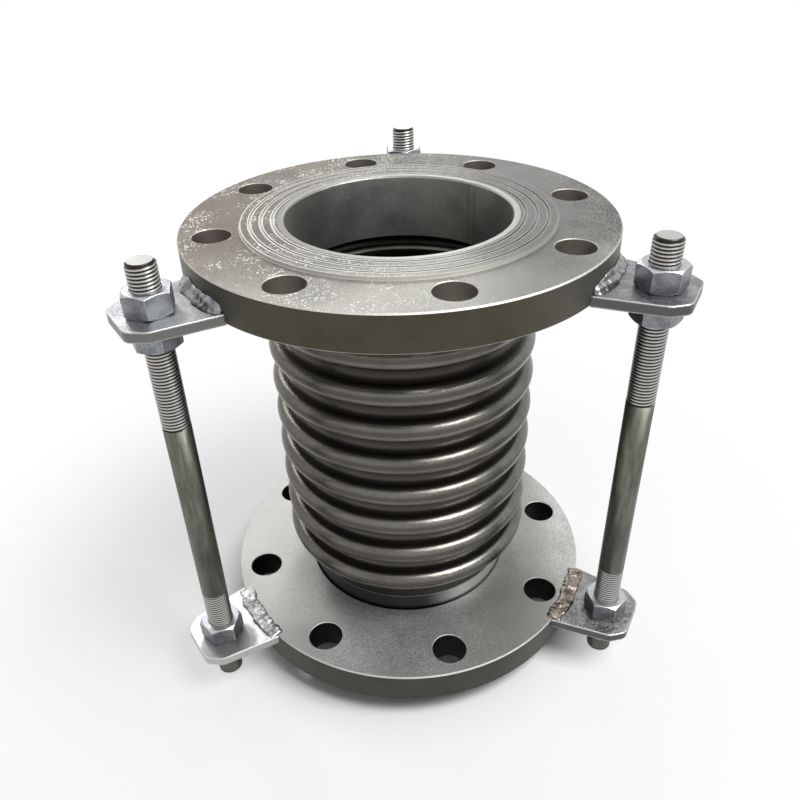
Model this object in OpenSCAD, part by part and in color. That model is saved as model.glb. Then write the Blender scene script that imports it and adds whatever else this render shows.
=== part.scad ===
// Flanged expansion joint: an eight-convolution metal bellows between two
// drilled flanges, held at length by three tie rods through welded lugs.
// Millimetres. The origin is the centre of the lower flange's sealing face,
// and +Z runs up the pipe axis to the upper flange.

/* [Flanges] */
// Outside diameter of both flanges
flange_d = 254; // [230:1:290]
// Thickness over the raised sealing face
flange_t = 23.5; // [18:0.5:30]
// Height of the raised sealing face
face_h = 2; // [1:0.5:4]
// Diameter of the raised sealing face
face_d = 184; // [176:1:190]
// From the rim in to the bolt circle
bolt_rim = 19; // [16:0.5:22]
// Number of bolt holes in each flange
bolt_n = 8; // [4:4:12]
// Bolt hole diameter
bolt_hole_d = 22.2; // [16:0.2:24]
// Angle from +X to the first bolt hole
bolt_turn = 15.5; // [0:0.5:45]

/* [Pipe ends] */
// Outside diameter of the pipe stubs
pipe_d = 141.3; // [138:0.1:144]
// Wall of the pipe stubs
pipe_wall = 4; // [3:0.5:7]
// Pipe between the lower flange and the first root of the bellows
lower_neck = 24.5; // [16:0.5:40]
// Pipe between the last root of the bellows and the upper flange
upper_neck = 18.5; // [16:0.5:40]

/* [Bellows] */
// Number of convolutions
conv_n = 8; // [4:1:12]
// Pitch from crest to crest
conv_pitch = 24; // [18:0.5:30]
// Share of each pitch that the crest takes
crest_share = 0.48; // [0.4:0.01:0.6]
// Straight part of each side, between the crest's arc and the root's
conv_flank = 0.55; // [0.4:0.05:6]
// Wall of the bellows, all plies together
bellows_wall = 1.2; // [1:0.1:1.5]
// Length of the plain cuff past the last root
cuff_len = 11; // [8:1:14]

/* [Tie rods and nuts] */
// Diameter of the tie rods
rod_d = 16; // [14:1:20]
// From the flange's rim out to the axis of each rod
rod_rim = 25.5; // [24:0.5:32]
// How far the rods reach above the upper sealing face
rod_above = 10; // [2:1:40]
// How far the rods reach below the lower sealing face
rod_below = 13; // [11:1:16]
// Nut width across flats
nut_flats = 24; // [21:0.5:30]
// Nut height
nut_h = 13; // [10:0.5:14]
// Angle of the back rod, from +X
rod_turn_back = 90; // [80:1:100]
// Angle of the left rod, from +X
rod_turn_left = 216; // [205:1:220]
// Angle of the right rod, from +X
rod_turn_right = 333; // [320:1:340]

/* [Lugs and welds] */
// Lug plate thickness
lug_t = 6; // [5:0.5:10]
// Lug width where it meets the rim
lug_root_w = 54; // [48:1:60]
// Lug width at its shoulders
lug_shoulder_w = 44; // [40:1:48]
// Lug width at its outer end
lug_end_w = 29; // [24:1:36]
// From the rod's centre out to the lug's end
lug_past_rod = 19; // [17:0.5:24]
// Length of the slope at each outer corner of a lug
lug_corner = 9; // [6:0.5:12]
// Radius that rounds a lug's outer corners
lug_corner_r = 7; // [1:0.5:8]
// Leg of the fillet weld on the upper lugs
weld_leg = 6.5; // [4:0.5:8]
// Width of the two-ridge weld on the lower lugs
weld_w = 13; // [10:0.5:16]
// How far each weld stops short of the lug's edges
weld_short = 2; // [0:0.5:5]

/* [Hidden] */
$fn = 96;
// Running clearance between pieces that are welded or screwed together
fit = 0.05;
// Slip clearance between the pipe stub and the flange's bore
slip = 0.35;
// Slip clearance between the pipe stub and the bellows' cuffs
cuff_slip = 0.1;
// Room round the tie rod in a lug's hole
lug_hole_slip = 0.75;
flange_r = flange_d / 2;
bolt_circle_r = flange_r - bolt_rim;
flange_edge = 0.8;
hole_edge = 0.4;
pipe_r = pipe_d / 2;
pipe_bore_r = pipe_r - pipe_wall;
flange_bore_r = pipe_r + slip;
// The face weld fills a step round the pipe's end, flush with the face
face_weld_w = 1.9;
face_weld_depth = 2.5;
groove_w = 1;
groove_depth = 0.8;
groove_1_r = flange_bore_r + face_weld_w + groove_w / 2;
groove_step = (face_d / 2 - groove_1_r) / 2.86;
// Inside of the cuffs and roots sits on the pipe
cuff_r = pipe_r + cuff_slip;
crest_a = conv_pitch * crest_share / 2;
root_a = conv_pitch / 2 - crest_a;
// Centres of the root and crest arcs
root_c = cuff_r + bellows_wall / 2 + root_a;
crest_c = root_c + conv_flank;
bellows_low = flange_t + lower_neck;
bellows_top = bellows_low + conv_n * conv_pitch;
stub_in = 1;
bore_lip = 1.2;
lower_in_z = flange_t;
upper_in_z = bellows_top + upper_neck;
face_to_face = upper_in_z + flange_t;
rod_circle_r = flange_r + rod_rim;
rod_len = rod_below + face_to_face + rod_above;
rod_chamfer = 1.6;
nut_r = nut_flats / sqrt(3);
nut_face_share = 0.97;
nut_cone_angle = 30;
// Turn of each nut against its lug, for the back, left and right rods
turn_top = [8, 7, 20];
turn_under_upper = [24, 23, 14];
turn_over_lower = [17, 42, 12];
turn_bottom = [0, 14, 38];
nut_bore_r = rod_d / 2 + fit;
lug_hole_r = rod_d / 2 + lug_hole_slip;
lug_root_r = flange_r + fit;
lug_end_u = rod_circle_r + lug_past_rod;
lug_shoulder_u = lug_end_u - lug_corner;
weld_half_deg = asin((lug_root_w / 2 - weld_short) / flange_r);
cut = 1;

// Profile of a flange lying on its sealing face, from bore to rim
module flange_profile() {
    difference() {
        union() {
            translate([flange_bore_r, 0])
                square([face_d / 2 - flange_bore_r, face_h + cut]);
            polygon([
                [flange_bore_r, face_h],
                [flange_r - flange_edge, face_h],
                [flange_r, face_h + flange_edge],
                [flange_r, flange_t - flange_edge],
                [flange_r - flange_edge, flange_t],
                [flange_bore_r, flange_t]
            ]);
        }
        // Step for the face weld
        translate([flange_bore_r - cut, -cut])
            square([face_weld_w + cut, face_weld_depth + cut]);
        // Sealing grooves
        for (i = [0:2])
            translate([groove_1_r + i * groove_step - groove_w / 2, -cut])
                square([groove_w, groove_depth + cut]);
    }
}

// One bolt hole with a broken edge at each mouth
module bolt_hole() {
    hole_r = bolt_hole_d / 2;
    translate([bolt_circle_r, 0, 0]) {
        translate([0, 0, -cut])
            cylinder(r = hole_r, h = flange_t + 2 * cut);
        translate([0, 0, face_h - cut])
            cylinder(r1 = hole_r + hole_edge + cut, r2 = hole_r, h = hole_edge + cut);
        translate([0, 0, flange_t - hole_edge])
            cylinder(r1 = hole_r, r2 = hole_r + hole_edge + cut, h = hole_edge + cut);
    }
}

// A flange with its sealing face down at z = 0
module flange_plate(turn) {
    difference() {
        rotate_extrude()
            flange_profile();
        for (i = [0:bolt_n - 1])
            rotate([0, 0, turn + i * 360 / bolt_n])
                bolt_hole();
    }
}

module lower_flange() {
    color([0.72, 0.72, 0.70])
        flange_plate(bolt_turn);
}

// The upper flange is the same plate turned over, with its holes in line
module upper_flange() {
    color([0.60, 0.59, 0.56])
        translate([0, 0, face_to_face])
            mirror([0, 0, 1])
                flange_plate(bolt_turn);
}

// Pipe stub from its faced end at z = 0, with a rounded inner lip
module pipe_stub(length) {
    rotate_extrude()
        difference() {
            translate([pipe_bore_r, 0])
                square([pipe_wall, length]);
            difference() {
                translate([pipe_bore_r - cut, -cut])
                    square([bore_lip + cut, bore_lip + cut]);
                translate([pipe_bore_r + bore_lip, bore_lip])
                    circle(r = bore_lip);
            }
        }
}

module lower_pipe() {
    color([0.45, 0.43, 0.40])
        pipe_stub(bellows_low - stub_in);
}

module upper_pipe() {
    color([0.40, 0.39, 0.37])
        translate([0, 0, face_to_face])
            mirror([0, 0, 1])
                pipe_stub(face_to_face - bellows_top - stub_in);
}

// Seal weld in the step round the pipe's end, machined flush
module face_weld() {
    rotate_extrude()
        translate([pipe_r + fit, 0])
            square([flange_bore_r + face_weld_w - pipe_r - 2 * fit, face_weld_depth - fit]);
}

module lower_face_weld() {
    color([0.62, 0.61, 0.58])
        face_weld();
}

module upper_face_weld() {
    color([0.62, 0.61, 0.58])
        translate([0, 0, face_to_face])
            mirror([0, 0, 1])
                face_weld();
}

// Ring of the bellows' wall, as seen in section
module arc_ring(a) {
    difference() {
        circle(r = a + bellows_wall / 2);
        circle(r = a - bellows_wall / 2);
    }
}

// One convolution in section: a crest and the two flanks that lead to its roots
module convolution() {
    big = conv_pitch;
    intersection() {
        translate([crest_c, 0])
            arc_ring(crest_a);
        translate([crest_c, -big])
            square([big, 2 * big]);
    }
    for (side = [-1, 1])
        translate([root_c, side * crest_a - bellows_wall / 2])
            square([crest_c - root_c, bellows_wall]);
}

// Section of the whole bellows with a plain cuff at each end
module bellows_profile() {
    big = conv_pitch;
    for (i = [0:conv_n - 1])
        translate([0, bellows_low + (i + 0.5) * conv_pitch])
            convolution();
    intersection() {
        for (i = [0:conv_n])
            translate([root_c, bellows_low + i * conv_pitch])
                arc_ring(root_a);
        translate([root_c - big, bellows_low])
            square([big, bellows_top - bellows_low]);
    }
    for (z = [bellows_low - cuff_len, bellows_top])
        translate([cuff_r, z])
            square([bellows_wall, cuff_len]);
}

module bellows() {
    color([0.55, 0.52, 0.48])
        rotate_extrude()
            bellows_profile();
}

// Fillet weld that closes a cuff's edge onto the pipe
module cuff_weld() {
    rotate_extrude()
        intersection() {
            translate([pipe_r + fit, fit])
                circle(r = bellows_wall);
            translate([pipe_r + fit, fit])
                square([2 * bellows_wall, 2 * bellows_wall]);
        }
}

module upper_cuff_weld() {
    color([0.50, 0.47, 0.43])
        translate([0, 0, bellows_top + cuff_len])
            cuff_weld();
}

module lower_cuff_weld() {
    color([0.50, 0.47, 0.43])
        translate([0, 0, bellows_low - cuff_len])
            mirror([0, 0, 1])
                cuff_weld();
}

// What an arc of radius r takes off the corner b of the outline a, b, c
module corner_sliver(a, b, c, r) {
    to_a = (a - b) / norm(a - b);
    to_c = (c - b) / norm(c - b);
    inward = (to_a + to_c) / norm(to_a + to_c);
    half = acos(to_a * to_c) / 2;
    middle = b + inward * r / sin(half);
    difference() {
        polygon([b - inward * cut, b + to_a * r / tan(half), middle, b + to_c * r / tan(half)]);
        translate(middle)
            circle(r = r);
    }
}

// One half of a lug's outline, past the middle line by one cut
module lug_half() {
    root_u = sqrt(pow(lug_root_r, 2) - pow(lug_root_w / 2, 2));
    root = [root_u, lug_root_w / 2];
    shoulder = [lug_shoulder_u, lug_shoulder_w / 2];
    end = [lug_end_u, lug_end_w / 2];
    end_mid = [lug_end_u, -cut];
    inner_u = root_u - lug_t;
    difference() {
        polygon([[inner_u, -cut], [inner_u, root[1]], root, shoulder, end, end_mid]);
        corner_sliver(root, shoulder, end, lug_corner_r);
        corner_sliver(shoulder, end, end_mid, lug_corner_r);
    }
}

// Lug plate on the ray at this angle, its inner end cut to the rim
module lug(turn) {
    rotate([0, 0, turn])
        linear_extrude(height = lug_t)
            difference() {
                union() {
                    lug_half();
                    mirror([0, 1])
                        lug_half();
                }
                circle(r = lug_root_r, $fn = 180);
                translate([rod_circle_r, 0])
                    circle(r = lug_hole_r);
            }
}

// Upper lugs sit with their undersides level with the upper flange's inner face
module upper_lug(turn) {
    color([0.75, 0.75, 0.74])
        translate([0, 0, upper_in_z])
            lug(turn);
}

// Lower lugs have their tops level with the lower flange's inner face
module lower_lug(turn) {
    color([0.78, 0.78, 0.77])
        translate([0, 0, lower_in_z - lug_t])
            lug(turn);
}

module upper_lug_back() { upper_lug(rod_turn_back); }
module upper_lug_left() { upper_lug(rod_turn_left); }
module upper_lug_right() { upper_lug(rod_turn_right); }
module lower_lug_back() { lower_lug(rod_turn_back); }
module lower_lug_left() { lower_lug(rod_turn_left); }
module lower_lug_right() { lower_lug(rod_turn_right); }

// Convex fillet weld in the corner between an upper lug and the rim
module upper_weld(turn) {
    color([0.66, 0.66, 0.65])
        translate([0, 0, upper_in_z + lug_t + fit])
            rotate([0, 0, turn - weld_half_deg])
                rotate_extrude(angle = 2 * weld_half_deg)
                    intersection() {
                        translate([flange_r + fit, 0])
                            circle(r = weld_leg);
                        translate([flange_r + fit, 0])
                            square([2 * weld_leg, 2 * weld_leg]);
                    }
}

// Two ridges of weld laid over the butt joint between a lower lug and the rim
module lower_weld(turn) {
    ridge_r = weld_w / 3;
    ridge_sink = ridge_r * 0.35;
    color([0.66, 0.64, 0.61])
        translate([0, 0, lower_in_z + fit])
            rotate([0, 0, turn - weld_half_deg])
                rotate_extrude(angle = 2 * weld_half_deg)
                    intersection() {
                        union() {
                            translate([flange_r - weld_w / 5, -ridge_sink])
                                circle(r = ridge_r);
                            translate([flange_r + weld_w / 5, -ridge_sink])
                                circle(r = ridge_r);
                        }
                        translate([flange_r - weld_w, 0])
                            square([2 * weld_w, weld_w]);
                    }
}

module upper_weld_back() { upper_weld(rod_turn_back); }
module upper_weld_left() { upper_weld(rod_turn_left); }
module upper_weld_right() { upper_weld(rod_turn_right); }
module lower_weld_back() { lower_weld(rod_turn_back); }
module lower_weld_left() { lower_weld(rod_turn_left); }
module lower_weld_right() { lower_weld(rod_turn_right); }

// Puts a piece on the rod's axis at this angle and height
module at_rod(turn, z) {
    rotate([0, 0, turn])
        translate([rod_circle_r, 0, z])
            children();
}

// Tie rod with chamfered ends, its threads left plain at their outside size
module tie_rod(turn) {
    rod_r = rod_d / 2;
    color([0.50, 0.50, 0.46])
        at_rod(turn, -rod_below)
            rotate_extrude()
                polygon([
                    [0, 0],
                    [rod_r - rod_chamfer, 0],
                    [rod_r, rod_chamfer],
                    [rod_r, rod_len - rod_chamfer],
                    [rod_r - rod_chamfer, rod_len],
                    [0, rod_len]
                ]);
}

module rod_back() { tie_rod(rod_turn_back); }
module rod_left() { tie_rod(rod_turn_left); }
module rod_right() { tie_rod(rod_turn_right); }

// Hexagon nut with both rims turned to a cone, standing on z = 0
module hex_nut(spin) {
    face_r = nut_flats / 2 * nut_face_share;
    rise = nut_h * 2;
    slope_r = face_r + rise / tan(nut_cone_angle);
    color([0.62, 0.64, 0.68])
        rotate([0, 0, spin])
            difference() {
                intersection() {
                    cylinder(r = nut_r, h = nut_h, $fn = 6);
                    cylinder(r1 = face_r, r2 = slope_r, h = rise);
                    translate([0, 0, nut_h - rise])
                        cylinder(r1 = slope_r, r2 = face_r, h = rise);
                }
                translate([0, 0, -cut])
                    cylinder(r = nut_bore_r, h = nut_h + 2 * cut);
            }
}

module nut_at(turn, z, spin) {
    at_rod(turn, z)
        hex_nut(spin);
}

module nut_top_back() { nut_at(rod_turn_back, upper_in_z + lug_t, turn_top[0]); }
module nut_top_left() { nut_at(rod_turn_left, upper_in_z + lug_t, turn_top[1]); }
module nut_top_right() { nut_at(rod_turn_right, upper_in_z + lug_t, turn_top[2]); }
module nut_under_upper_back() { nut_at(rod_turn_back, upper_in_z - nut_h, turn_under_upper[0]); }
module nut_under_upper_left() { nut_at(rod_turn_left, upper_in_z - nut_h, turn_under_upper[1]); }
module nut_under_upper_right() { nut_at(rod_turn_right, upper_in_z - nut_h, turn_under_upper[2]); }
module nut_over_lower_back() { nut_at(rod_turn_back, lower_in_z, turn_over_lower[0]); }
module nut_over_lower_left() { nut_at(rod_turn_left, lower_in_z, turn_over_lower[1]); }
module nut_over_lower_right() { nut_at(rod_turn_right, lower_in_z, turn_over_lower[2]); }
module nut_bottom_back() { nut_at(rod_turn_back, lower_in_z - lug_t - nut_h, turn_bottom[0]); }
module nut_bottom_left() { nut_at(rod_turn_left, lower_in_z - lug_t - nut_h, turn_bottom[1]); }
module nut_bottom_right() { nut_at(rod_turn_right, lower_in_z - lug_t - nut_h, turn_bottom[2]); }

upper_flange();
lower_flange();
upper_pipe();
lower_pipe();
upper_face_weld();
lower_face_weld();
bellows();
upper_cuff_weld();
lower_cuff_weld();
upper_lug_back();
upper_lug_left();
upper_lug_right();
lower_lug_back();
lower_lug_left();
lower_lug_right();
upper_weld_back();
upper_weld_left();
upper_weld_right();
lower_weld_back();
lower_weld_left();
lower_weld_right();
rod_back();
rod_left();
rod_right();
nut_top_back();
nut_top_left();
nut_top_right();
nut_under_upper_back();
nut_under_upper_left();
nut_under_upper_right();
nut_over_lower_back();
nut_over_lower_left();
nut_over_lower_right();
nut_bottom_back();
nut_bottom_left();
nut_bottom_right();
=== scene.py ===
from math import atan2, ceil, cos, radians, sin, sqrt, tau

import bmesh
import bpy
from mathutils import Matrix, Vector, noise


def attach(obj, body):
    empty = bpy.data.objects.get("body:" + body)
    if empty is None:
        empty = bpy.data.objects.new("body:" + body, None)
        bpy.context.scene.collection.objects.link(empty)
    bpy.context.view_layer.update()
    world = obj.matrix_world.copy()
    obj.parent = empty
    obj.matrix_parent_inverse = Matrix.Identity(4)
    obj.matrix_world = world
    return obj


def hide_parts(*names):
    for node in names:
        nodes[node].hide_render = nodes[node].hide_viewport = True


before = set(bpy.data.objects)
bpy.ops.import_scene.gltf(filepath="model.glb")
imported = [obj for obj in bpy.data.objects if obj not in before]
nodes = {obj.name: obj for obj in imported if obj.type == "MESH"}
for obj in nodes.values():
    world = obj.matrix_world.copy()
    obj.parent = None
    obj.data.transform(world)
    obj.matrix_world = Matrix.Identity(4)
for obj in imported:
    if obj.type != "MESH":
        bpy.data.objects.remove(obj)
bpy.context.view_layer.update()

# The room: a pale, matt studio floor that the lower rod ends stand on, with white all
# round. It keeps the joint's soft shadow near by and runs out to white further off.
scene = bpy.context.scene
scene.view_settings.view_transform = "Standard"
rod_foot_z, floor_half = -0.013, 6.0
past_flange, past_shadow = (0.115, 0.16), (0.15, 0.42)
floor_grey, white = (0.88, 0.88, 0.88, 1), (1, 1, 1, 1)
room_light = 0.1


class Shade:
    """A shader socket that takes part in Python arithmetic."""

    def __init__(self, tree, socket):
        self.tree, self.socket = tree, socket

    def math(self, operation, *values, clamp=False):
        node = self.tree.nodes.new("ShaderNodeMath")
        node.operation, node.use_clamp = operation, clamp
        for slot, value in zip(node.inputs, values):
            join(self.tree, slot, value)
        return Shade(self.tree, node.outputs[0])

    def __add__(self, other): return self.math("ADD", self, other)
    def __radd__(self, other): return self.math("ADD", other, self)
    def __sub__(self, other): return self.math("SUBTRACT", self, other)
    def __rsub__(self, other): return self.math("SUBTRACT", other, self)
    def __mul__(self, other): return self.math("MULTIPLY", self, other)
    def __rmul__(self, other): return self.math("MULTIPLY", other, self)
    def __pow__(self, other): return self.math("POWER", self, other)
    def above(self, other): return self.math("GREATER_THAN", self, other)
    def below(self, other): return self.math("LESS_THAN", self, other)
    def clipped(self): return self.math("ADD", self, 0.0, clamp=True)
    def size(self): return self.math("ABSOLUTE", self)

    def ramp(self, low, high):
        """0 at low, 1 at high, with a soft start and end."""
        node = self.tree.nodes.new("ShaderNodeMapRange")
        node.interpolation_type = "SMOOTHSTEP"
        for name, value in (("Value", self), ("From Min", low), ("From Max", high)):
            join(self.tree, node.inputs[name], value)
        return Shade(self.tree, node.outputs[0])


def join(tree, slot, value):
    if isinstance(value, Shade):
        tree.links.new(value.socket, slot)
    else:
        slot.default_value = value


class Finish:
    """One material, its Principled shader and the nodes that feed it."""

    def __init__(self, name, **constants):
        self.material = bpy.data.materials.new(name)
        self.material.use_nodes = True
        self.tree = self.material.node_tree
        self.shader = self.tree.nodes["Principled BSDF"]
        for socket, value in constants.items():
            self.shader.inputs[socket.replace("_", " ")].default_value = value
        self.place = self.node("ShaderNodeTexCoord")["Object"]

    def node(self, kind, settings=None, **values):
        """Any other node: its type, its settings, then its sockets by name or _number."""
        made = self.tree.nodes.new(kind)
        for name, value in (settings or {}).items():
            setattr(made, name, value)
        for name, value in values.items():
            key = int(name[1:]) if name[0] == "_" else name.replace("_", " ")
            join(self.tree, made.inputs[key], value)
        return {o.name: Shade(self.tree, o) for o in made.outputs if o.enabled}

    def noise(self, size, detail, rough, stretch=None):
        """Soft random cloud with lumps about as wide as size."""
        at = self.place
        if stretch:
            at = self.node("ShaderNodeMapping", None, Vector=at, Scale=stretch)["Vector"]
        return self.node("ShaderNodeTexNoise", None, Vector=at, Scale=1.0 / size,
                         Detail=detail, Roughness=rough)["Fac"]

    def mix(self, amount, low, high):
        """The colour low where amount is 0, and high where it is 1."""
        return self.node("ShaderNodeMix", {"data_type": "RGBA"},
                         _0=amount, _6=low, _7=high)["Result"]

    def parts(self, at=None):
        made = self.node("ShaderNodeSeparateXYZ", None, Vector=at or self.place)
        return made["X"], made["Y"], made["Z"]

    def upright(self):
        """How far the surface faces up or down: 1 on level faces, 0 on upright ones."""
        facing = self.node("ShaderNodeTexCoord")["Normal"]
        return self.parts(facing)[2].size()

    def rounded(self, radius):
        """A normal that rolls over sharp edges, and a mask of where it does."""
        rolled = self.node("ShaderNodeBevel", {"samples": 6}, Radius=radius)["Normal"]
        flat = self.node("ShaderNodeNewGeometry")["Normal"]
        same = self.node("ShaderNodeVectorMath", {"operation": "DOT_PRODUCT"},
                         _0=rolled, _1=flat)["Value"]
        return rolled, (1.0 - same).ramp(0.01, 0.10)

    def bump(self, height, depth, strength, **normal):
        self.feed(Normal=self.node("ShaderNodeBump", None, Height=height, Distance=depth,
                                   Strength=strength, **normal)["Normal"])

    def feed(self, **values):
        for name, value in values.items():
            join(self.tree, self.shader.inputs[name.replace("_", " ")], value)

    def dress(self, *pieces):
        for dressed in pieces:
            dressed.data.materials.clear()
            dressed.data.materials.append(self.material)


def piece(name, bm, smooth=True):
    """A new object at the origin from a finished bmesh."""
    mesh = bpy.data.meshes.new(name)
    bm.to_mesh(mesh)
    bm.free()
    if smooth:
        mesh.shade_smooth()
    made = bpy.data.objects.new(name, mesh)
    scene.collection.objects.link(made)
    return made


floor_bm = bmesh.new()
bmesh.ops.create_grid(floor_bm, x_segments=1, y_segments=1, size=floor_half)
bmesh.ops.translate(floor_bm, verts=floor_bm.verts, vec=(0, 0, rod_foot_z))
floor = piece("studio_floor", floor_bm, smooth=False)
floor_finish = Finish("studio_floor", Base_Color=floor_grey, Roughness=0.9)
x, y, z = floor_finish.parts()
away = (x * x + y * y) ** 0.5
white_share = away.ramp(*past_flange) * 0.6 + away.ramp(*past_shadow) * 0.4
rays = floor_finish.node("ShaderNodeLightPath")
seen = (rays["Is Camera Ray"] + rays["Is Glossy Ray"] + rays["Is Transmission Ray"]).clipped()
paper = floor_finish.node("ShaderNodeEmission", None, Color=white, Strength=1.0)
lit = floor_finish.node("ShaderNodeMixShader", None, _0=seen * white_share,
                        _1=Shade(floor_finish.tree, floor_finish.shader.outputs[0]),
                        _2=paper["Emission"])
floor_surface = floor_finish.tree.nodes["Material Output"].inputs["Surface"]
join(floor_finish.tree, floor_surface, lit["Shader"])
floor_finish.material.cycles.emission_sampling = "NONE"
floor_finish.dress(floor)

world = bpy.data.worlds.new("studio")
scene.world = world
world.use_nodes = True
sky = world.node_tree
backdrop = sky.nodes["Background"]
paths = sky.nodes.new("ShaderNodeLightPath")
seen = (Shade(sky, paths.outputs["Is Camera Ray"])
        + Shade(sky, paths.outputs["Is Glossy Ray"])
        + Shade(sky, paths.outputs["Is Transmission Ray"]))
join(sky, backdrop.inputs["Strength"], seen.clipped() * (1 - room_light) + room_light)
backdrop.inputs["Color"].default_value = white


def softbox(name, place, aim, width, height, power):
    lamp = bpy.data.lights.new(name, "AREA")
    lamp.shape, lamp.size, lamp.size_y = "RECTANGLE", width, height
    lamp.energy = power
    made = bpy.data.objects.new(name, lamp)
    made.location = place
    made.rotation_euler = (Vector(aim) - Vector(place)).to_track_quat("-Z", "Y").to_euler()
    scene.collection.objects.link(made)


softbox("main_right", place=(0.72, -0.38, 1.38), aim=(0, 0, 0.14),
        width=0.75, height=0.70, power=23.0)
softbox("window_left", place=(-0.80, 0.94, 1.00), aim=(0, 0, 0.14),
        width=0.30, height=0.40, power=2.8)
softbox("window_back", place=(0.02, 1.30, 0.98), aim=(0, 0, 0.28),
        width=0.40, height=0.35, power=2.6)

# The camera stands in front of the joint and looks down at it, at the photograph's
# angle. Its lens and place were fitted to the ellipses of both flanges.
camera_place = (0.0143, -0.4306, 0.4355)
camera_tip, camera_roll, camera_pan = 56.80, 1.716, 1.655
view = bpy.data.cameras.new("photo_view")
view.sensor_width = 36.0
view.lens = 34.28
view.shift_x, view.shift_y = 0.0078, -0.0060
view.clip_start = 0.01
camera = bpy.data.objects.new("photo_view", view)
camera.location = camera_place
camera.rotation_euler = (radians(camera_tip), radians(camera_roll), radians(camera_pan))
scene.collection.objects.link(camera)
scene.camera = camera

# The two flanges are drilled steel plate with a raised face and three turned grooves,
# each welded to its pipe stub. The upper one is stained brown on the left and flecked
# white, and the lower one is brighter, with a painted reflection lightening its left.
# Both carry painted light: a painted sheen at the front of the upper one and painted
# shade at the front of the lower one, painted shade to the right, a rim painted dark as
# painted shade, and painted highlights on grooves and edges. The bore walls and the
# lower holes are painted near black as painted shade.
flange_edge_r, face_edge_r, groove_radii = 0.1262, 0.092, (0.0734, 0.0799, 0.08641)
groove_half, face_line_half, face_corner_half = 0.0013, 0.0007, 0.0003
middle_z, inner_reach, gap_r = 0.141, 0.12, 0.0720
grain_size, blotch_size, patch_size = 0.0011, 0.022, 0.06
fleck_size, flecked_size = 0.0022, 0.016
flecks_per_metre = 750.0
groove_highlight_tone, edge_highlight_tone = (0.68, 0.67, 0.63, 1), (0.60, 0.59, 0.55, 1)
fleck_white, rim_end_sheen, gap_shade_black = (0.85, 0.84, 0.80, 1), (0.17, 0.17, 0.155, 1), (0.012, 0.012, 0.012, 1)


def flange_finish(name, dark, light, left_stain_and_sheen, front_painted_light, right_painted_shade, rim_shade_tone, hole_tone, flecked):
    made = Finish(name, Metallic=1.0)
    x, y, z = made.parts()
    radius = (x * x + y * y) ** 0.5
    level = made.upright()
    grain = made.noise(grain_size, 3.0, 0.75)
    blotch = made.noise(blotch_size, 5.0, 0.6)
    patch = made.noise(patch_size, 3.0, 0.5)
    top = made.mix((blotch * 0.25 + grain * 0.75).ramp(0.39, 0.61), dark, light)
    # Towards the left: a brown stain on the upper flange, and on the lower one a painted reflection that
    # lightens its left.
    top = made.mix((x * -6.0 + patch - 0.25).ramp(0.2, 0.9) * 0.75, top, left_stain_and_sheen)
    # Painted light at the front: a painted sheen on the upper flange, painted shade on the lower.
    top = made.mix((y * -6.0 + patch - 0.35).ramp(0.3, 0.9) * 0.6, top, front_painted_light)
    from_middle = (z - middle_z).size()
    ring = (radius - face_edge_r).size().below(face_line_half)
    for groove in groove_radii:
        ring = ring + (radius - groove).size().below(groove_half)
    sealing = from_middle.above(inner_reach) * level.above(0.5)
    # Painted highlights along the raised face's edge and the grooves, strongest to the left.
    groove_highlight = ring.clipped() * sealing * (0.60 - x * 2.2).clipped()
    top = made.mix(groove_highlight, top, groove_highlight_tone)
    # The bore wall inside the flange is painted near black, as painted shade in the gap round the pipe.
    shaded_gap = radius.below(gap_r) * from_middle.below(inner_reach)
    top = made.mix(shaded_gap, top, gap_shade_black)
    # Painted shade towards the right of the top.
    shaded = x.ramp(0.02, 0.07) * (1.0 - x.ramp(0.09, 0.125)) * 0.65
    top = made.mix(shaded, top, right_painted_shade)
    if flecked:
        cells = made.node("ShaderNodeTexVoronoi", {"feature": "F1"}, Vector=made.place,
                          Scale=flecks_per_metre)["Distance"]
        where = made.noise(flecked_size, 3.0, 0.6).ramp(0.46, 0.58) * (x * -9.0 + 0.55).clipped()
        fleck = cells.below(0.36) * made.noise(fleck_size, 3.0, 0.6).above(0.50) * where
        top = made.mix(fleck.clipped(), top, fleck_white)
    # The rim is painted dark as painted shade, standing for a dark reflection, and lighter at its left
    # and right ends as a painted reflection.
    side = made.mix((made.noise(0.02, 4.0, 0.5) * 0.6 + grain * 0.4).ramp(0.35, 0.65),
                    rim_shade_tone, [tone * 1.25 for tone in rim_shade_tone[:3]] + [1])
    side = made.mix(x.size().ramp(0.05, 0.12) * 0.7, side, rim_end_sheen)
    side = made.mix(radius.below(flange_edge_r), side, hole_tone)
    # Painted highlights on the raised face's corner and on the sloping chamfers.
    side = made.mix((radius - face_edge_r).size().below(face_corner_half), side, edge_highlight_tone)
    coat = made.mix(level.ramp(0.25, 0.6), side, top)
    chamfer_highlight = level.above(0.3) * level.below(0.95)
    made.feed(Base_Color=made.mix(chamfer_highlight * 0.5, coat, edge_highlight_tone),
              Roughness=0.44 + grain * 0.16)
    made.bump(grain * 0.8 + blotch * 0.4, depth=0.0006, strength=0.6)
    return made


upper_finish = flange_finish(
    "upper_flange_coat", dark=(0.050, 0.050, 0.046, 1), light=(0.25, 0.25, 0.235, 1),
    left_stain_and_sheen=(0.19, 0.163, 0.132, 1), front_painted_light=(0.52, 0.51, 0.465, 1), right_painted_shade=(0.145, 0.145, 0.14, 1),
    rim_shade_tone=(0.064, 0.057, 0.041, 1), hole_tone=(0.23, 0.205, 0.18, 1), flecked=True)
upper_finish.dress(nodes["upper_flange"])
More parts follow.
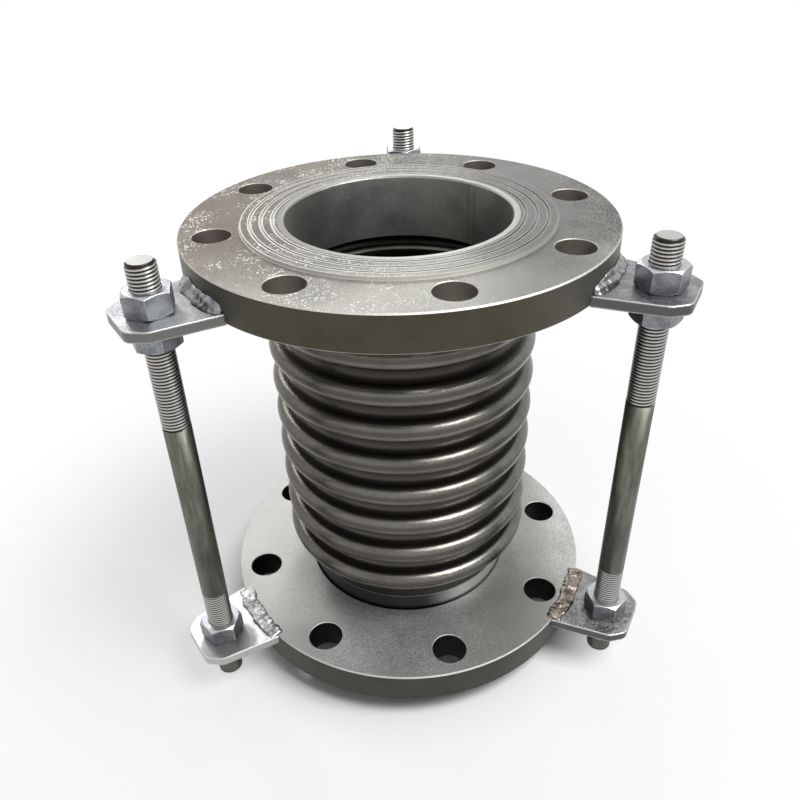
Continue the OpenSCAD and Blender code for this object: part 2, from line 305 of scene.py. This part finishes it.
# The lower flange's hole_tone is near black: painted shade inside its holes.
lower_finish = flange_finish(
    "lower_flange_coat", dark=(0.34, 0.34, 0.33, 1), light=(0.58, 0.58, 0.565, 1),
    left_stain_and_sheen=(0.54, 0.535, 0.51, 1), front_painted_light=(0.20, 0.21, 0.205, 1), right_painted_shade=(0.19, 0.19, 0.17, 1),
    rim_shade_tone=(0.058, 0.058, 0.052, 1), hole_tone=(0.030, 0.030, 0.028, 1), flecked=False)
lower_finish.dress(nodes["lower_flange"])

# Two pipe stubs of rolled 5 inch pipe with a long seam, one through each flange.
# The outer ends are faced flush with the raised faces and seal-welded there, and
# the welds are machined flat, so that pipe end, weld and face look alike.
faced_z, neck_top_z = 0.2812, 0.06
seam_turn, seam_inner, seam_outer = 0.82, 0.030, 0.045
rolled_dark, rolled_light = (0.36, 0.35, 0.335, 1), (0.58, 0.57, 0.55, 1)
neck_painted_shade, neck_painted_highlight = (0.045, 0.043, 0.040, 1), (0.58, 0.59, 0.58, 1)
seam_tone, faced_tone = (0.20, 0.19, 0.18, 1), (0.27, 0.265, 0.245, 1)
stub_finish = Finish("pipe_stub", Metallic=1.0)
x, y, z = stub_finish.parts()
turn = y.math("ARCTAN2", y, x)
off_seam = (turn - seam_turn).size()
seam = off_seam.below(seam_outer) * off_seam.above(seam_inner)
cloud = stub_finish.noise(0.028, 3.0, 0.5)
grain = stub_finish.noise(0.0012, 3.0, 0.6, stretch=(0.6, 0.6, 2.0))
wall_tone = stub_finish.mix((cloud * 0.65 + grain * 0.35).ramp(0.35, 0.65),
                            rolled_dark, rolled_light)
wall_tone = stub_finish.mix(seam * 0.5, wall_tone, seam_tone)
# The lower neck is painted dark on its left as painted shade and light on its right as a painted
# highlight.
neck_painted_light = stub_finish.mix(x.ramp(0.012, 0.045), neck_painted_shade, neck_painted_highlight)
wall_tone = stub_finish.mix(z.below(neck_top_z), wall_tone, neck_painted_light)
stub_finish.feed(Base_Color=stub_finish.mix(z.above(faced_z), wall_tone, faced_tone),
                 Roughness=0.32 + grain * 0.14)
stub_finish.bump(grain * 0.6 + cloud * 0.4 + seam * 0.8, depth=0.0004, strength=0.45)
stub_finish.dress(nodes["upper_pipe"], nodes["lower_pipe"])
upper_finish.dress(nodes["upper_face_weld"])
lower_finish.dress(nodes["lower_face_weld"])

# The bellows is hydroformed from a thin stainless tube: eight convolutions as one
# wall, with a plain cuff at each end that is pushed over the pipe stub.
convolutions, bellows_mid = 8, 0.144
pitch, crest_bow, root_bow = 0.024, 0.00576, 0.00624
crest_mid, root_mid, wall = 0.0839, 0.07135, 0.0012
cuff_long = 0.011
root_steps, crest_steps, round_steps = 5, 14, 180
crest_axis, root_axis = crest_mid - crest_bow, root_mid + root_bow
lowest_root = bellows_mid - convolutions / 2 * pitch
bm = bmesh.new()
tip = bm.verts.new((root_mid, 0, lowest_root - cuff_long))


def run_to(tip, r, z):
    """Carries the profile straight on from its tip to a radius and height."""
    made = bmesh.ops.extrude_vert_indiv(bm, verts=[tip])["verts"][0]
    made.co = (r, 0, z)
    return made


def sweep(tip, r, z, turn, steps):
    """Carries the profile on from its tip in an arc about a radius and height."""
    made = bmesh.ops.spin(bm, geom=[tip], cent=(r, 0, z), axis=(0, 1, 0), dvec=(0, 0, 0),
                          angle=radians(turn), steps=steps)["geom_last"]
    return next(v for v in made if isinstance(v, bmesh.types.BMVert))


tip = run_to(tip, root_mid, lowest_root)
for turn_no in range(convolutions):
    middle = lowest_root + (turn_no + 0.5) * pitch
    tip = sweep(tip, root_axis, middle - pitch / 2, 90, root_steps)
    tip = run_to(tip, crest_axis, middle - crest_bow)
    tip = sweep(tip, crest_axis, middle, -180, crest_steps)
    tip = run_to(tip, root_axis, middle + crest_bow)
    tip = sweep(tip, root_axis, middle + pitch / 2, 90, root_steps)
tip = run_to(tip, root_mid, lowest_root + convolutions * pitch + cuff_long)
bmesh.ops.remove_doubles(bm, verts=bm.verts, dist=1e-6)
bmesh.ops.spin(bm, geom=bm.verts[:] + bm.edges[:], cent=(0, 0, 0), axis=(0, 0, 1),
               dvec=(0, 0, 0), angle=tau, steps=round_steps, use_merge=True)
bmesh.ops.remove_doubles(bm, verts=bm.verts, dist=1e-6)
bmesh.ops.recalc_face_normals(bm, faces=bm.faces)
bellows = piece("bellows_formed", bm)
thickness = bellows.modifiers.new("wall", "SOLIDIFY")
thickness.thickness, thickness.offset = wall, 0.0
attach(bellows, "root")
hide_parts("bellows")

root_painted_shade, fold_painted_shade = (0.030, 0.027, 0.024, 1), (0.082, 0.075, 0.067, 1)
skin_dark, skin_light = (0.118, 0.111, 0.097, 1), (0.225, 0.217, 0.200, 1)
crest_dark_reflection, underside_highlight = (0.045, 0.040, 0.034, 1), (0.55, 0.54, 0.51, 1)
tarnish_brown = (0.060, 0.052, 0.040, 1)
bellows_finish = Finish("bellows_formed", Metallic=1.0)
x, y, z = bellows_finish.parts()
radius = (x * x + y * y) ** 0.5
# The roots are painted dark as painted shade in the valleys between the convolutions.
out_of_valley = radius.ramp(root_mid + 0.002, crest_axis + 0.0045)
valley_shade = bellows_finish.mix(radius.ramp(root_mid, root_mid + 0.003), root_painted_shade, fold_painted_shade)
fine = bellows_finish.noise(0.0010, 3.0, 0.65)
tarnish = bellows_finish.noise(0.03, 4.0, 0.55)
skin = bellows_finish.mix((tarnish * 0.5 + fine * 0.5).ramp(0.34, 0.66), skin_dark, skin_light)
to_left = (0.30 - x * 7.0 + tarnish * 0.5 - 0.2).clipped()
skin = bellows_finish.mix(to_left * 0.55, skin, tarnish_brown)
# A painted dark reflection in a band round each crest's outermost face.
tilt = bellows_finish.parts(bellows_finish.node("ShaderNodeTexCoord")["Normal"])[2]
dark_reflection_band = 1.0 - (tilt - 0.20).size().ramp(0.12, 0.34)
skin = bellows_finish.mix(dark_reflection_band * 0.6, skin, crest_dark_reflection)
# A painted highlight on the downward-facing undersides of the crests.
skin = bellows_finish.mix((0.0 - tilt).ramp(0.30, 0.85) * 0.35, skin, underside_highlight)
bellows_finish.feed(Base_Color=bellows_finish.mix(out_of_valley, valley_shade, skin),
                    Roughness=0.20 + fine * 0.08)
bellows_finish.bump(fine, depth=0.00025, strength=0.5)
bellows_finish.dress(bellows)

# A small fillet weld runs round each cuff's edge and closes it onto the pipe stub. It
# is laid in one pass and left as welded, finely rippled.
cuff_bead = Finish("cuff_bead", Metallic=0.9, Roughness=0.35)
ripples = cuff_bead.noise(0.0016, 3.0, 0.6)
cuff_bead.feed(Base_Color=cuff_bead.mix(ripples, (0.20, 0.18, 0.15, 1), (0.42, 0.40, 0.36, 1)))
cuff_bead.bump(ripples, depth=0.0005, strength=0.7)
cuff_bead.dress(nodes["upper_cuff_weld"], nodes["lower_cuff_weld"])

# Six lugs cut from 6 mm plate with their outer corners clipped, each welded to a rim.
# Each has kept its own look: smooth, dull, nearly white with a scuff, or crinkled.
# Their upright faces are painted darker as painted shade, and their edges lighter as
# wear with a painted highlight.
scuff_x, scuff_y, scuff_r = -0.117, -0.101, 0.0175
plate_edge, edge_wear_and_highlight_tone = 0.0016, (0.70, 0.70, 0.70, 1)


def lug_finish(name, dark, light, side_shade_tone, crinkle, scuff_tone=None):
    made = Finish(name, Metallic=1.0)
    level = made.upright()
    speck = made.noise(0.0011, 3.0, 0.65)
    cloud = made.noise(0.012, 3.0, 0.5)
    fold = made.noise(0.0028, 3.0, 0.6)
    rolled, wear_and_highlight = made.rounded(plate_edge)
    top = made.mix((cloud * 0.4 + speck * 0.3 + fold * 0.3).ramp(0.36, 0.64), dark, light)
    if scuff_tone:
        x, y, z = made.parts()
        away = ((x - scuff_x) ** 2 + (y - scuff_y) ** 2) ** 0.5
        top = made.mix((scuff_r - away + fold * 0.006).ramp(0.0, 0.004) * 0.8, top, scuff_tone)
    # Upright faces take side_shade_tone, painted darker than the tops as painted shade.
    plate = made.mix(level.ramp(0.4, 0.8), side_shade_tone, top)
    # Edges painted lighter: wear with a painted highlight.
    made.feed(Base_Color=made.mix(wear_and_highlight * 0.8, plate, edge_wear_and_highlight_tone),
              Roughness=0.30 + speck * 0.16)
    made.bump(speck * 0.5 + fold * crinkle, depth=0.0005, strength=0.5, Normal=rolled)
    return made


smooth_lug = lug_finish(
    "lug_smooth", dark=(0.27, 0.275, 0.285, 1), light=(0.46, 0.465, 0.475, 1),
    side_shade_tone=(0.16, 0.16, 0.155, 1), crinkle=0.3)
smooth_lug.dress(nodes["upper_lug_left"], nodes["upper_lug_back"])
dull_lug = lug_finish(
    "lug_dull", dark=(0.14, 0.145, 0.15, 1), light=(0.38, 0.39, 0.40, 1),
    side_shade_tone=(0.10, 0.102, 0.105, 1), crinkle=0.4)
dull_lug.dress(nodes["upper_lug_right"])
white_lug = lug_finish(
    "lug_bright", dark=(0.62, 0.62, 0.615, 1), light=(0.84, 0.84, 0.835, 1),
    side_shade_tone=(0.46, 0.46, 0.45, 1), crinkle=0.5, scuff_tone=(0.22, 0.22, 0.22, 1))
white_lug.dress(nodes["lower_lug_left"], nodes["lower_lug_back"])
crinkled_lug = lug_finish(
    "lug_crinkled", dark=(0.13, 0.13, 0.125, 1), light=(0.38, 0.38, 0.37, 1),
    side_shade_tone=(0.10, 0.10, 0.095, 1), crinkle=2.2)
crinkled_lug.dress(nodes["lower_lug_right"])

# Weld beads join the lugs to the rims: a flat, uneven fillet on top of each upper
# lug, and two low wandering ridges over each lower one. One is heat-stained bronze.
rod_turns = {"back": 90.0, "left": 216.0, "right": 333.0}
rim_r, upper_seat, lower_seat = 0.12705, 0.26455, 0.02355
weld_half_turn, bead_steps, arc_steps = 11.4, 120, 10
fillet_leg, ridge_foot, ridge_off = 0.0062, 0.0060, 0.0032


def bead_finish(name, dark, light):
    made = Finish(name, Metallic=1.0)
    scale_marks = made.noise(0.0018, 4.0, 0.6)
    heat = made.noise(0.005, 3.0, 0.55)
    made.feed(Base_Color=made.mix((heat * 0.7 + scale_marks * 0.3).ramp(0.38, 0.62), dark, light),
              Roughness=0.24 + scale_marks * 0.16)
    made.bump(scale_marks, depth=0.0006, strength=0.5)
    return made


bead_looks = {
    "upper": bead_finish("bead_grey", (0.15, 0.152, 0.155, 1), (0.34, 0.345, 0.35, 1)),
    "lower": bead_finish("bead_pale", (0.17, 0.17, 0.168, 1), (0.62, 0.62, 0.61, 1)),
    "right": bead_finish("bead_bronze", (0.085, 0.078, 0.064, 1), (0.36, 0.305, 0.272, 1))}
for number, (side, turn) in enumerate(rod_turns.items()):
    for level in ("upper", "lower"):
        bm = bmesh.new()
        if level == "upper":
            seat = upper_seat
            foot = bm.verts.new((rim_r + fillet_leg, 0, seat))
            sweep(foot, rim_r, seat, -90, arc_steps)
            bm.verts.new((rim_r, 0, seat))
        else:
            seat = lower_seat
            foot = bm.verts.new((rim_r + ridge_foot, 0, seat))
            for ridge in (ridge_off, -ridge_off):
                foot = sweep(foot, rim_r + ridge, seat, -180, arc_steps)
        bmesh.ops.contextual_create(bm, geom=bm.verts[:])
        bmesh.ops.spin(bm, geom=bm.verts[:] + bm.edges[:] + bm.faces[:], cent=(0, 0, 0),
                       axis=(0, 0, 1), dvec=(0, 0, 0), angle=radians(2 * weld_half_turn),
                       steps=bead_steps)
        bmesh.ops.remove_doubles(bm, verts=bm.verts, dist=1e-6)
        for v in bm.verts:
            out, up = sqrt(v.co.x ** 2 + v.co.y ** 2) - rim_r, v.co.z - seat
            share = atan2(v.co.y, v.co.x) / radians(weld_half_turn) - 1
            taper = max(0.0, 1 - abs(share) ** 6) ** 0.5
            wave = noise.noise(Vector((share * 3.5, number * 3.1, 0.5)))
            ripple = noise.noise(Vector((share * 11, up * 250, number * 2.3)))
            if level == "upper":
                size = (0.25 + 0.75 * taper) * (0.86 + 0.25 * wave + 0.06 * ripple)
                lobe = atan2(up, out)
                flat = 1 - 0.26 * sin(2 * lobe) + 0.05 * sin(6 * lobe + 4 * share)
                out, up = out * size * flat, up * size * flat * 1.1
            else:
                size = (0.2 + 0.8 * taper) * (0.50 + 0.32 * wave + 0.10 * ripple)
                out = out * (0.68 + 0.14 * taper + 0.10 * ripple) + 0.0014 * wave
                up = max(0.0, up * size)
            turned = radians(turn + share * weld_half_turn)
            v.co = ((rim_r + out) * cos(turned), (rim_r + out) * sin(turned), seat + up)
        bmesh.ops.recalc_face_normals(bm, faces=bm.faces)
        bead = piece(level + "_bead_" + side, bm)
        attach(bead, "root")
        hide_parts(level + "_weld_" + side)
        bead_looks[side if (level, side) == ("lower", "right") else level].dress(bead)

# Three tie rods of 16 mm steel bar, with rolled threads of 2 mm pitch at both ends and
# a plain shank of the same size between them. They pass through the lugs.
rod_axis_r, rod_r, thread_pitch, thread_deep = 0.1525, 0.008, 0.002, 0.00115
crest_r, root_r = rod_r - 0.00003, rod_r - thread_deep
thread_form = ((crest_r, 0.14), (root_r, 0.46), (root_r, 0.58), (crest_r, 0.90), (crest_r, 1.0))
rod_low, rod_high, low_thread_end, high_thread_start = -0.013, 0.292, 0.063, 0.194
end_bevel, shank_sides, steps_a_turn, spare_turns = 0.0016, 48, 30, 3
shank_dark, shank_light = (0.105, 0.105, 0.085, 1), (0.165, 0.165, 0.14, 1)
thread_root_shade, thread_crest = (0.035, 0.032, 0.028, 1), (0.50, 0.49, 0.47, 1)
low_end_dark, cut_end = (0.060, 0.055, 0.048, 1), (0.50, 0.50, 0.49, 1)
rod_finish = Finish("tie_rod", Metallic=1.0)
x, y, z = rod_finish.parts()
threaded = (z.above(high_thread_start) + z.below(low_thread_end)).clipped()
off_axis = None
for turn in rod_turns.values():
    across = x - rod_axis_r * cos(radians(turn))
    along = y - rod_axis_r * sin(radians(turn))
    this_rod = (across * across + along * along) ** 0.5
    off_axis = this_rod if off_axis is None else off_axis.math("MINIMUM", off_axis, this_rod)
crest = off_axis.ramp(rod_r - 0.0008, rod_r)
drawn = rod_finish.noise(0.003, 4.0, 0.6, stretch=(1.0, 1.0, 0.15))
speck = rod_finish.noise(0.0008, 2.0, 0.6)
shank_tone = rod_finish.mix(drawn.ramp(0.35, 0.65), shank_dark, shank_light)
# The thread roots are painted dark as painted shade, the crests lighter.
thread_tone = rod_finish.mix(crest, thread_root_shade, thread_crest)
# The threads are darker below z = 0, at the rods' lower ends.
thread_tone = rod_finish.mix(z.below(0.0) * 0.75, thread_tone, low_end_dark)
thread_tone = rod_finish.mix(rod_finish.upright().above(0.98), thread_tone, cut_end)
rod_finish.feed(Base_Color=rod_finish.mix(threaded, shank_tone, thread_tone),
                Roughness=0.36 + speck * 0.14 - threaded * 0.08)
rod_finish.bump(drawn * 0.5 + speck * 0.5, depth=0.0002, strength=0.3)
for side, turn in rod_turns.items():
    rod = bmesh.new()
    shank = bmesh.ops.create_cone(rod, cap_ends=True, segments=shank_sides, radius1=rod_r,
                                  radius2=rod_r, depth=high_thread_start - low_thread_end)["verts"]
    bmesh.ops.translate(rod, verts=shank, vec=(0, 0, (high_thread_start + low_thread_end) / 2))
    for low, high, free_end in ((rod_low, low_thread_end, rod_low),
                                (high_thread_start, rod_high, rod_high)):
        bm = bmesh.new()
        tip = bm.verts.new((crest_r, 0, low - 2 * thread_pitch))
        for r, share in thread_form:
            tip = run_to(tip, r, low + (share - 2) * thread_pitch)
        turns = ceil((high - low) / thread_pitch) + spare_turns
        bmesh.ops.spin(bm, geom=bm.verts[:] + bm.edges[:], cent=(0, 0, 0), axis=(0, 0, 1),
                       dvec=(0, 0, thread_pitch / steps_a_turn), angle=tau * turns,
                       steps=steps_a_turn * turns)
        bmesh.ops.remove_doubles(bm, verts=bm.verts, dist=2e-6)
        for cut_z, drop_above in ((low, False), (high, True)):
            cut = bmesh.ops.bisect_plane(bm, geom=bm.verts[:] + bm.edges[:] + bm.faces[:],
                                         plane_co=(0, 0, cut_z), plane_no=(0, 0, 1),
                                         clear_outer=drop_above, clear_inner=not drop_above)
            rim = [e for e in cut["geom_cut"] if isinstance(e, bmesh.types.BMEdge)]
            bmesh.ops.contextual_create(bm, geom=rim)
        for v in bm.verts:
            reach = sqrt(v.co.x ** 2 + v.co.y ** 2)
            allowed = rod_r - max(0.0, end_bevel - abs(v.co.z - free_end))
            if reach > allowed:
                v.co.x, v.co.y = v.co.x * allowed / reach, v.co.y * allowed / reach
        bmesh.ops.recalc_face_normals(bm, faces=bm.faces)
        part = bpy.data.meshes.new("thread")
        bm.to_mesh(part)
        bm.free()
        rod.from_mesh(part)
        bpy.data.meshes.remove(part)
    bmesh.ops.translate(rod, verts=rod.verts,
                        vec=(rod_axis_r * cos(radians(turn)), rod_axis_r * sin(radians(turn)), 0))
    tie_rod = piece("tie_rod_" + side, rod)
    for face in tie_rod.data.polygons:
        face.use_smooth = abs(face.normal.z) < 0.98
    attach(tie_rod, "root")
    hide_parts("rod_" + side)
    rod_finish.dress(tie_rod)

# Twelve zinc-plated hexagon nuts, one screwed down over and one up under every lug.
# Their chamfered tops are painted lighter as a painted highlight, their worn edges are
# painted lighter as wear with a painted highlight, and their flats are hazy.
nut_edge = 0.0007
flat_dark, flat_light = (0.15, 0.155, 0.165, 1), (0.27, 0.28, 0.30, 1)
zinc_highlight_tone = (0.60, 0.615, 0.64, 1)
nut_finish = Finish("zinc_nut", Metallic=1.0)
haze = nut_finish.noise(0.008, 3.0, 0.5)
tick = nut_finish.noise(0.0010, 3.0, 0.6)
rolled, wear_and_highlight = nut_finish.rounded(nut_edge)
flats = nut_finish.mix((haze * 0.6 + tick * 0.4).ramp(0.36, 0.64), flat_dark, flat_light)
# Painted highlight: tops and edges lighter than the flats.
painted_highlight = (nut_finish.upright().ramp(0.3, 0.6) * 0.7 + wear_and_highlight * 0.6).clipped()
nut_finish.feed(Base_Color=nut_finish.mix(painted_highlight, flats, zinc_highlight_tone),
                Roughness=0.26 + tick * 0.14)
nut_finish.bump(tick, depth=0.0003, strength=0.4, Normal=rolled)
for level in ("top", "under_upper", "over_lower", "bottom"):
    for side in rod_turns:
        nut_finish.dress(nodes[f"nut_{level}_{side}"])
